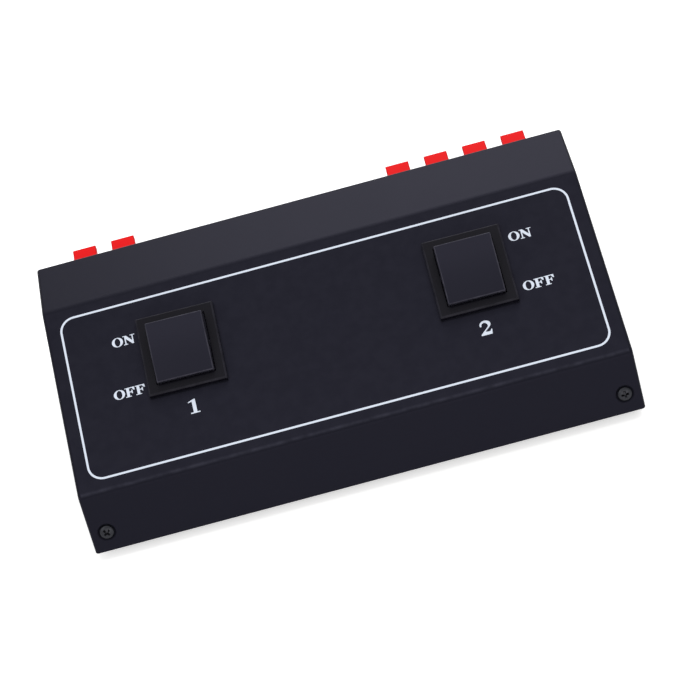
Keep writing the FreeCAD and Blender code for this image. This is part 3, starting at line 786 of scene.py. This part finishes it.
def number_two():
    """A bowl that swells towards its right side, a thin neck and a heavy foot."""
    outer, inner = [], []
    steps = 30
    for k in range(steps + 1):
        angle = math.radians(195 - 240 * k / steps)
        swell = 0.05 + 0.09 * math.sin(math.pi * min(1, k / steps * 0.9)) ** 2
        reach_x, reach_y = 0.28, 0.25
        c, s = math.cos(angle), math.sin(angle)
        outer.append((0.37 + (reach_x + swell) * c, 0.70 + (reach_y + swell * 0.55) * s))
        inner.append((0.37 + (reach_x - swell) * c, 0.70 + (reach_y - swell * 0.55) * s))
    foot_right = [(0.30, 0.24), (0.52, 0.20), (0.64, 0.22), (0.70, 0.34), (0.77, 0.34), (0.72, 0.0)]
    foot_left = [(0.0, 0.0), (0.0, 0.08)]
    return 0.78, [outer + foot_right + foot_left + inner[::-1]]


def word(letters, height, x, baseline, anchor):
    """Loops of a word that starts or ends at x, on a baseline down the panel."""
    shapes = [letter() for letter in letters]
    width = sum(shape[0] for shape in shapes)
    left = {"left": x, "middle": x - width * height / 2, "right": x - width * height}[anchor]
    loops = []
    for advance, outlines in shapes:
        for outline in outlines:
            loops.append([(left + px * height, baseline + py * height) for px, py in outline])
        left += advance * height
    return loops


def border_loops():
    """The two edges of the printed frame line."""
    loops = []
    for grow in (BORDER_LINE / 2, -BORDER_LINE / 2):
        side = BORDER_HALF_WIDTH + grow
        corners = [Vector((-side, BORDER_BOTTOM - grow)), Vector((side, BORDER_BOTTOM - grow)),
                   Vector((side, BORDER_TOP + grow)), Vector((-side, BORDER_TOP + grow))]
        loops.append([tuple(p) for p in rounded_path(corners, [BORDER_CORNER + grow] * 4, 12)])
    return loops


def print_on_panel():
    """Frame line, ON and OFF beside each switch and its number below."""
    on, off = (letter_o, letter_n), (letter_o, letter_f, letter_f)
    shapes = [("border", border_loops())]
    for anchor, edge in WORD_ENDS.items():
        shapes.append(("on", word(on, WORD_HEIGHT, edge, ON_BASELINE, anchor)))
        shapes.append(("off", word(off, WORD_HEIGHT, edge, OFF_BASELINE, anchor)))
    for number, glyph in ((1, number_one), (2, number_two)):
        x = switch_place(number).translation.x
        shapes.append(("number", word((glyph,), NUMBER_HEIGHT, x, NUMBER_BASELINE, "middle")))
    pieces = [flat_shape(name, loops, INK_HEIGHT) for name, loops in shapes]
    ink = joined(pieces, "panel_print")
    ink.data.transform(panel_frame @ Matrix.Translation((0, 0, INK_HEIGHT / 2)))
    ink.data.materials.append(screen_ink())
    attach(ink, "case")


# Screws

def threaded_shank(low, high, segments=20, rows_per_turn=5):
    """A shank with a rolled thread, closed at both ends."""
    bm = bmesh.new()
    rows = int((high - low) / THREAD_PITCH * rows_per_turn)
    rings = []
    for row in range(rows + 1):
        z = low + (high - low) * row / rows
        taper = min(1.0, (z - low) / (THREAD_LEAD * THREAD_PITCH) + THREAD_TIP)
        ring = []
        for k in range(segments):
            phase = (z / THREAD_PITCH - k / segments) % 1.0
            crest = 1 - abs(2 * phase - 1)
            radius = (THREAD_RADIUS - THREAD_DEPTH * (1 - crest)) * taper
            angle = math.tau * k / segments
            ring.append(bm.verts.new((radius * math.cos(angle), radius * math.sin(angle), z)))
        rings.append(ring)
    for low_ring, high_ring in zip(rings, rings[1:]):
        for k in range(segments):
            j = (k + 1) % segments
            bm.faces.new((low_ring[k], low_ring[j], high_ring[j], high_ring[k]))
    bm.faces.new(rings[0][::-1])
    bm.faces.new(rings[-1])
    return new_piece("shank", bm)


def pan_screw(place, length, turn):
    """Self-tapping screw with a domed head and a cross recess, its head above Z 0."""
    dome = [(HEAD_RADIUS * math.cos(a), HEAD_SIDE + (HEAD_HEIGHT - HEAD_SIDE) * math.sin(a))
            for a in (math.pi / 2 * k / 10 for k in range(10))]
    profile = [(0, 0), (HEAD_RADIUS - HEAD_CHAMFER, 0), (HEAD_RADIUS, HEAD_CHAMFER)] + dome
    profile.append((0, HEAD_HEIGHT))
    head = turned_piece("head", profile)
    for quarter in (0, 1):
        bm = bmesh.new()
        reach, width, deep = RECESS_REACH, RECESS_WIDTH / 2, HEAD_HEIGHT - RECESS_DEPTH
        top = [(-reach, -width), (reach, -width), (reach, width), (-reach, width)]
        upper = [bm.verts.new((x * RECESS_FLARE, y * RECESS_FLARE, HEAD_HEIGHT + RECESS_OVER))
                 for x, y in top]
        lower = [bm.verts.new((x * RECESS_FLOOR[0], y * RECESS_FLOOR[1], deep)) for x, y in top]
        close_between(bm, upper, lower)
        slot = new_piece("slot", bm)
        slot.data.transform(Matrix.Rotation(quarter * math.pi / 2, 4, "Z"))
        combine(head, slot, "DIFFERENCE")
    combine(head, threaded_shank(-length, SHANK_SINK), "UNION")
    head.data.transform(place @ Matrix.Rotation(turn, 4, "Z"))
    return head


def screws():
    """The cover's front and rear screws and those of the terminal blocks."""
    seat = Matrix.Translation((0, 0, -DIMPLE_DEPTH))
    front = [pan_screw(front_screw_place(side) @ seat, FRONT_SCREW_LENGTH, turn)
             for side, turn in FRONT_SCREW_TURNS.items()]
    rear = [pan_screw(rear_screw_place(side), REAR_SCREW_LENGTH, side * REAR_SCREW_TURN) for side in (-1, 1)]
    lift = Matrix.Translation((0, 0, BLOCK_FACE))
    blocks = [pan_screw(place @ lift, BLOCK_SCREW_LENGTH, BLOCK_SCREW_TURN * k)
              for k, place in enumerate(block_screw_places())]
    for node, pieces in (("front_case_screws", front), ("rear_case_screws", rear), ("block_screws", blocks)):
        group = joined(pieces, node + "_piece")
        shade(group, math.radians(30))
        dress(group, node)


# Rocker switches

def rocker_side(inset, foot_level, steps=16):
    """Side view of the rocker: a crowned face over two straight ends."""
    half = ROCKER_FACE_LENGTH / 2 - inset
    rise = ROCKER_FACE_HEIGHT - ROCKER_CROWN - inset
    places = [1 - 2 * k / steps for k in range(steps + 1)]
    face = [(half * place, rise + ROCKER_CROWN * (1 - place ** 2)) for place in places]
    return [Vector(p) for p in [(half, -foot_level)] + face + [(-half, -foot_level)]]


def rocker_body(name, inset, foot_level):
    """The rocker's side view carried across its width, with sides that lean in above the bezel."""
    base = ROCKER_FACE_WIDTH / 2 + ROCKER_FLARE - inset
    face = ROCKER_FACE_WIDTH / 2 - inset
    body = prism_piece(name, rocker_side(inset, foot_level), -base, base)
    reach = ROCKER_FACE_LENGTH
    crest = ROCKER_FACE_HEIGHT - inset + ROCKER_OVER
    bm = bmesh.new()
    outline = [(-base, -reach), (base, -reach), (base, BEZEL_HEIGHT), (face, crest), (-face, crest),
               (-base, BEZEL_HEIGHT)]
    near = [bm.verts.new((x, -reach, z)) for x, z in outline]
    far = [bm.verts.new((x, reach, z)) for x, z in outline]
    close_between(bm, near, far)
    combine(body, new_piece("sides", bm), "INTERSECT")
    return body


def rocker(number):
    """Crowned hollow rocker with pivot pins and square guides for its plungers."""
    body = rocker_body("rocker_%d_piece" % number, 0, ROCKER_SKIRT)
    soften(body, ROCKER_EDGE, 4, math.radians(30))
    settle(body)
    combine(body, rocker_body("hollow", ROCKER_WALL, ROCKER_SKIRT + ROCKER_WALL), "DIFFERENCE")
    half = ROCKER_FACE_WIDTH / 2 + ROCKER_FLARE
    sideways = Matrix.Rotation(math.pi / 2, 4, "Y")
    for side in (-1, 1):
        ends = sorted((side * (half - ROCKER_WALL), side * (half + ROCKER_PIN_LENGTH)))
        combine(body, rod_piece("pin", ROCKER_PIN_RADIUS, ends[0], ends[1], sideways), "UNION")
    thick = 2 * (PLUNGER_RADIUS + PLUNGER_PLAY + GUIDE_WALL)
    poles = [Matrix.Translation((side * POLE_SPACING / 2, 0, 0)) for side in (-1, 1)]
    for pole in poles:
        combine(body, block_piece("guide", thick, thick, -GUIDE_LENGTH, GUIDE_END + GUIDE_WALL, pole),
                "UNION")
    for pole in poles:
        combine(body, rod_piece("bore", PLUNGER_RADIUS + PLUNGER_PLAY, -GUIDE_LENGTH - MM, GUIDE_END, pole),
                "DIFFERENCE")
    mark_edges(body)
    body.data.transform(rocker_place(number))
    shade(body, math.radians(30))
    dress(body, "rocker_%d" % number)


def plungers(number):
    """Nylon pins with rounded noses."""
    nose = [(PLUNGER_RADIUS * math.sin(a), PLUNGER_RADIUS * 0.5 * (1 - math.cos(a)))
            for a in (math.pi / 2 * k / 8 for k in range(1, 9))]
    profile = [(0, 0)] + nose + [(PLUNGER_RADIUS, PLUNGER_LENGTH - PLUNGER_CHAMFER),
                                 (PLUNGER_RADIUS - PLUNGER_CHAMFER, PLUNGER_LENGTH), (0, PLUNGER_LENGTH)]
    pieces = []
    for side in (-1, 1):
        place = rocker_place(number) @ Matrix.Translation((side * POLE_SPACING / 2, 0, PLUNGER_TIP))
        pieces.append(turned_piece("pin", profile, place, 28))
    pins = joined(pieces, "plungers_%d_piece" % number)
    shade(pins)
    dress(pins, "plungers_%d" % number)


def coil(place, low, high):
    """A compression spring of round wire as a tube along its helix."""
    curve = bpy.data.curves.new("coil", "CURVE")
    curve.dimensions = "3D"
    curve.bevel_depth = SPRING_WIRE
    curve.bevel_resolution = 2
    curve.use_fill_caps = True
    spline = curve.splines.new("POLY")
    steps = SPRING_TURNS * 16
    spline.points.add(steps)
    radius = SPRING_RADIUS - SPRING_WIRE
    for k, point in enumerate(spline.points):
        angle = math.tau * SPRING_TURNS * k / steps
        height = low + SPRING_WIRE + (high - low - 2 * SPRING_WIRE) * k / steps
        point.co = (radius * math.cos(angle), radius * math.sin(angle), height, 1)
    mesh = mesh_of(curve)
    mesh.transform(place)
    bm = bmesh.new()
    bm.from_mesh(mesh)
    bmesh.ops.remove_doubles(bm, verts=bm.verts, dist=WELD_MM * MM)
    return new_piece("coil", bm)


def plunger_springs(number):
    """The springs that press the plungers on the contacts."""
    pieces = []
    for side in (-1, 1):
        place = rocker_place(number) @ Matrix.Translation((side * POLE_SPACING / 2, 0, 0))
        pieces.append(coil(place, PLUNGER_TIP + PLUNGER_LENGTH, GUIDE_END))
    springs = joined(pieces, "plunger_springs_%d_piece" % number)
    shade(springs)
    dress(springs, "plunger_springs_%d" % number)


# Nodes that keep their shape and get rounded edges

def softened_nodes():
    """Rounds each node whose name holds one of these words, by its edge width in millimetres."""
    widths = {"bottom_lid": 0.25, "foot": 0.9, "switch_housing": 0.3, "contact_bridges": 0.1,
              "centre_blades": 0.12, "end_blades": 0.12, "block_body": 0.3, "block_back": 0.15,
              "pivot_rods": 0.15, "clamp_springs": 0.1, "lever": 0.3, "link_board": 0.1, "leads": 0.3}
    for node in sorted(frame["nodes"]):
        for word_in_name, width in widths.items():
            if word_in_name in node:
                softened_node(node, width * MM)
                break


# Stage, light and camera

def camera():
    data = bpy.data.cameras.new("camera")
    data.lens = CAMERA_LENS
    data.sensor_width = SENSOR_WIDTH
    data.clip_start = CLIP_START
    holder = bpy.data.objects.new("camera", data)
    back = CAMERA_RIGHT.cross(CAMERA_UP)
    holder.matrix_world = (Matrix.Translation(CAMERA_PLACE)
                           @ Matrix((CAMERA_RIGHT, CAMERA_UP, back)).transposed().to_4x4())
    bpy.context.scene.collection.objects.link(holder)
    bpy.context.scene.camera = holder


def floor():
    """A plain white floor just under the feet, pure white to the camera outside the shadow."""
    bm = bmesh.new()
    bmesh.ops.create_grid(bm, x_segments=1, y_segments=1, size=FLOOR_REACH,
                          matrix=Matrix.Translation((0, 0, FLOOR_LEVEL)))
    piece = new_piece("floor", bm)
    material = bpy.data.materials.new("white_floor")
    material.use_nodes = True
    tree = material.node_tree
    tree.nodes.clear()
    rays = add(tree, "ShaderNodeLightPath")
    seen = add(tree, "ShaderNodeMath", {0: rays.outputs["Is Camera Ray"], 1: rays.outputs["Is Glossy Ray"]},
               operation="MAXIMUM")
    paint = add(tree, "ShaderNodeBsdfDiffuse", {"Color": linear("#f4f4f4")})
    glow = add(tree, "ShaderNodeEmission", {"Color": (1, 1, 1, 1), "Strength": FLOOR_GLOW})
    both = add(tree, "ShaderNodeAddShader", {0: paint.outputs[0], 1: glow.outputs[0]})
    mix = add(tree, "ShaderNodeMixShader", {"Fac": seen.outputs[0], 1: paint.outputs[0], 2: both.outputs[0]})
    add(tree, "ShaderNodeOutputMaterial", {"Surface": mix.outputs[0]})
    piece.data.materials.append(material)


def world():
    """White to the camera and in reflections, and a moderate even fill for everything else."""
    scene_world = bpy.data.worlds.new("studio")
    bpy.context.scene.world = scene_world
    scene_world.use_nodes = True
    tree = scene_world.node_tree
    tree.nodes.clear()
    rays = add(tree, "ShaderNodeLightPath")
    glossy = add(tree, "ShaderNodeMath", {0: rays.outputs["Is Glossy Ray"],
                                          1: rays.outputs["Is Transmission Ray"]}, operation="MAXIMUM")
    seen = add(tree, "ShaderNodeMath", {0: rays.outputs["Is Camera Ray"], 1: glossy.outputs[0]},
               operation="MAXIMUM")
    strength = add(tree, "ShaderNodeMapRange", {"Value": seen.outputs[0], "To Min": WORLD_FILL,
                                                "To Max": WORLD_WHITE})
    light = add(tree, "ShaderNodeBackground", {"Color": (1, 1, 1, 1), "Strength": strength.outputs[0]})
    add(tree, "ShaderNodeOutputWorld", {"Surface": light.outputs[0]})


def lamp(name, place, aim, width, height, watts, colour="#ffffff"):
    """A softbox that faces a point."""
    data = bpy.data.lights.new(name, "AREA")
    data.shape = "RECTANGLE"
    data.size = width
    data.size_y = height
    data.energy = watts
    data.color = linear(colour)[:3]
    holder = bpy.data.objects.new(name, data)
    holder.location = place
    holder.rotation_euler = (Vector(aim) - Vector(place)).to_track_quat("-Z", "Y").to_euler()
    bpy.context.scene.collection.objects.link(holder)


def lights():
    lamp("rear_softbox", (0.35, 1.15, 1.25), (0, 0, 0), 1.3, 0.9, 18)
    lamp("top_strip", (0.0, -0.05, 1.5), (0, 0, 0), 1.4, 0.2, 3)
    lamp("left_fill", (-0.95, -0.75, 1.0), (0, 0, 0), 1.0, 1.0, 5)
    lamp("front_fill", (0.25, -1.5, 0.45), (0, 0, 0), 1.4, 0.6, 6, "#fffaf4")


top_cover()
print_on_panel()
screws()
for switch in (1, 2):
    rocker(switch)
    plungers(switch)
    plunger_springs(switch)
softened_nodes()
camera()
floor()
world()
lights()
bpy.context.scene.view_settings.view_transform = "Standard"
